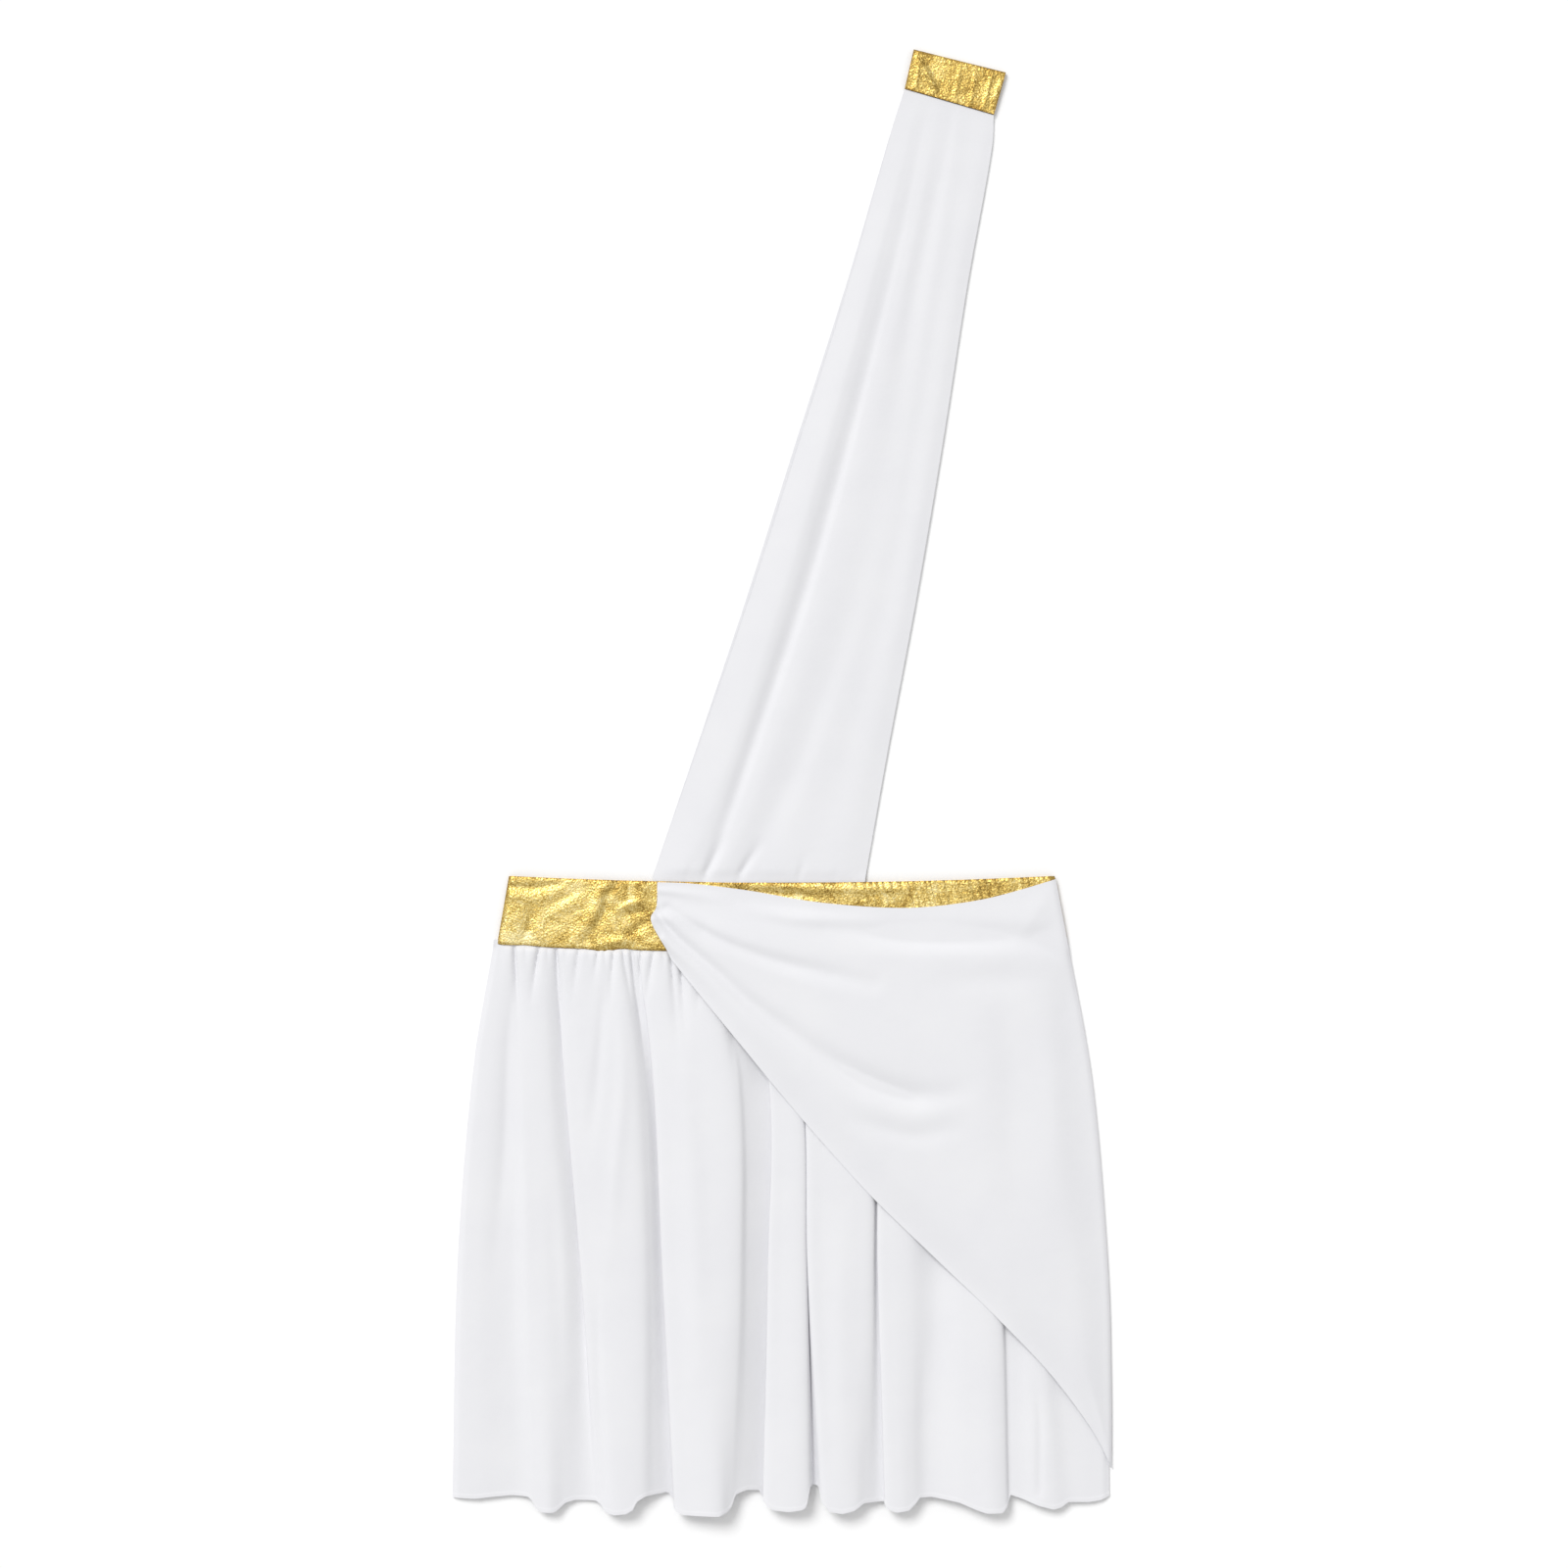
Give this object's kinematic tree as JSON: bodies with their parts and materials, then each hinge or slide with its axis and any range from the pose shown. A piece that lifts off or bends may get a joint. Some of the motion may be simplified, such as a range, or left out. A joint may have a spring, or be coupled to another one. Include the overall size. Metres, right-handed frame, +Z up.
{
  "type": "greek warrior costume",
  "caption": "One-shoulder stage costume laid flat: gathered white skirt, gold waistband, side drape and long tapered shoulder strap.",
  "frame": {"origin": "middle of the laid-out costume's box, on the surface that it lies on", "axes": "+Y from the hem to the shoulder, +X towards the wearer's left, +Z up from the surface towards the front of the costume"},
  "size_m": [0.4835, 1.076, 0.0178],
  "materials": {
    "white_cloth": "smooth polyester knit with a soft sheen",
    "gold_foil": "stretch knit with a crackled gold foil coat"
  },
  "bodies": {
    "root": {"skirt_back": "white_cloth", "skirt_front": "white_cloth", "waistband_back": "gold_foil", "waistband_front": "gold_foil", "strap_back": "white_cloth", "strap_front": "white_cloth", "shoulder_band": "gold_foil", "drape": "white_cloth"}
  },
  "joints": []
}
